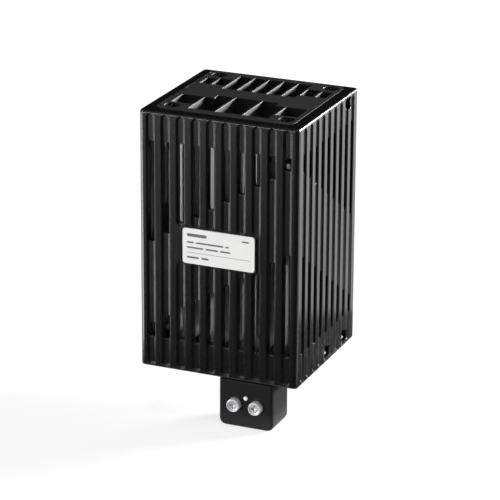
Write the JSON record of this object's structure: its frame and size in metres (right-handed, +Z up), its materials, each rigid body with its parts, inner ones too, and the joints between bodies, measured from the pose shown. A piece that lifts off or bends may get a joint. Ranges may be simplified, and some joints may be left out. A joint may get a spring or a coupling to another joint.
{
  "type": "enclosure heater",
  "caption": "Box-shaped cabinet heater with a slotted black housing, grille top, aluminium fins inside, a terminal foot below and a rail clip on the back.",
  "frame": {"origin": "middle of the rail clip's flat seat on the back, halfway between its hooks", "axes": "+Z up along the housing's height, +Y backwards out of the rail seat towards the rail, +X to the right seen from the front"},
  "size_m": [0.076, 0.0809, 0.143],
  "materials": {
    "black_plastic": "fine moulded texture",
    "clip_plastic": "fine moulded texture",
    "aluminium": "plain extruded",
    "label": "satin printed film",
    "bright_steel": "bright plated",
    "black_steel": "black plated",
    "pin": "milky",
    "brass": "plain",
    "frame_plastic": "natural",
    "film": "clear amber",
    "ceramic": "fired",
    "lead": "silicone insulation"
  },
  "bodies": {
    "root": {"bottom_cover": "black_plastic", "clip_screw_lower": "bright_steel", "clip_screw_upper": "bright_steel", "contact_spring": "bright_steel", "electrode_front": "brass", "electrode_rear": "brass", "element_frame": "frame_plastic", "heat_sink": "aluminium", "housing_shell": "black_plastic", "indicator_pin": "pin", "insulating_sleeve": "film", "lead_left": "lead", "lead_right": "lead", "ptc_element_1": "ceramic", "ptc_element_2": "ceramic", "ptc_element_3": "ceramic", "ptc_element_4": "ceramic", "rail_clip": "clip_plastic", "rating_label": "label", "sink_screw_left": "bright_steel", "sink_screw_right": "bright_steel", "terminal_clamp_left": "brass", "terminal_clamp_right": "brass", "terminal_screw_left": "bright_steel", "terminal_screw_right": "bright_steel", "top_grille": "black_plastic", "top_screw_front_left": "black_steel", "top_screw_front_right": "black_steel", "top_screw_rear_left": "black_steel", "top_screw_rear_right": "black_steel"}
  },
  "joints": []
}
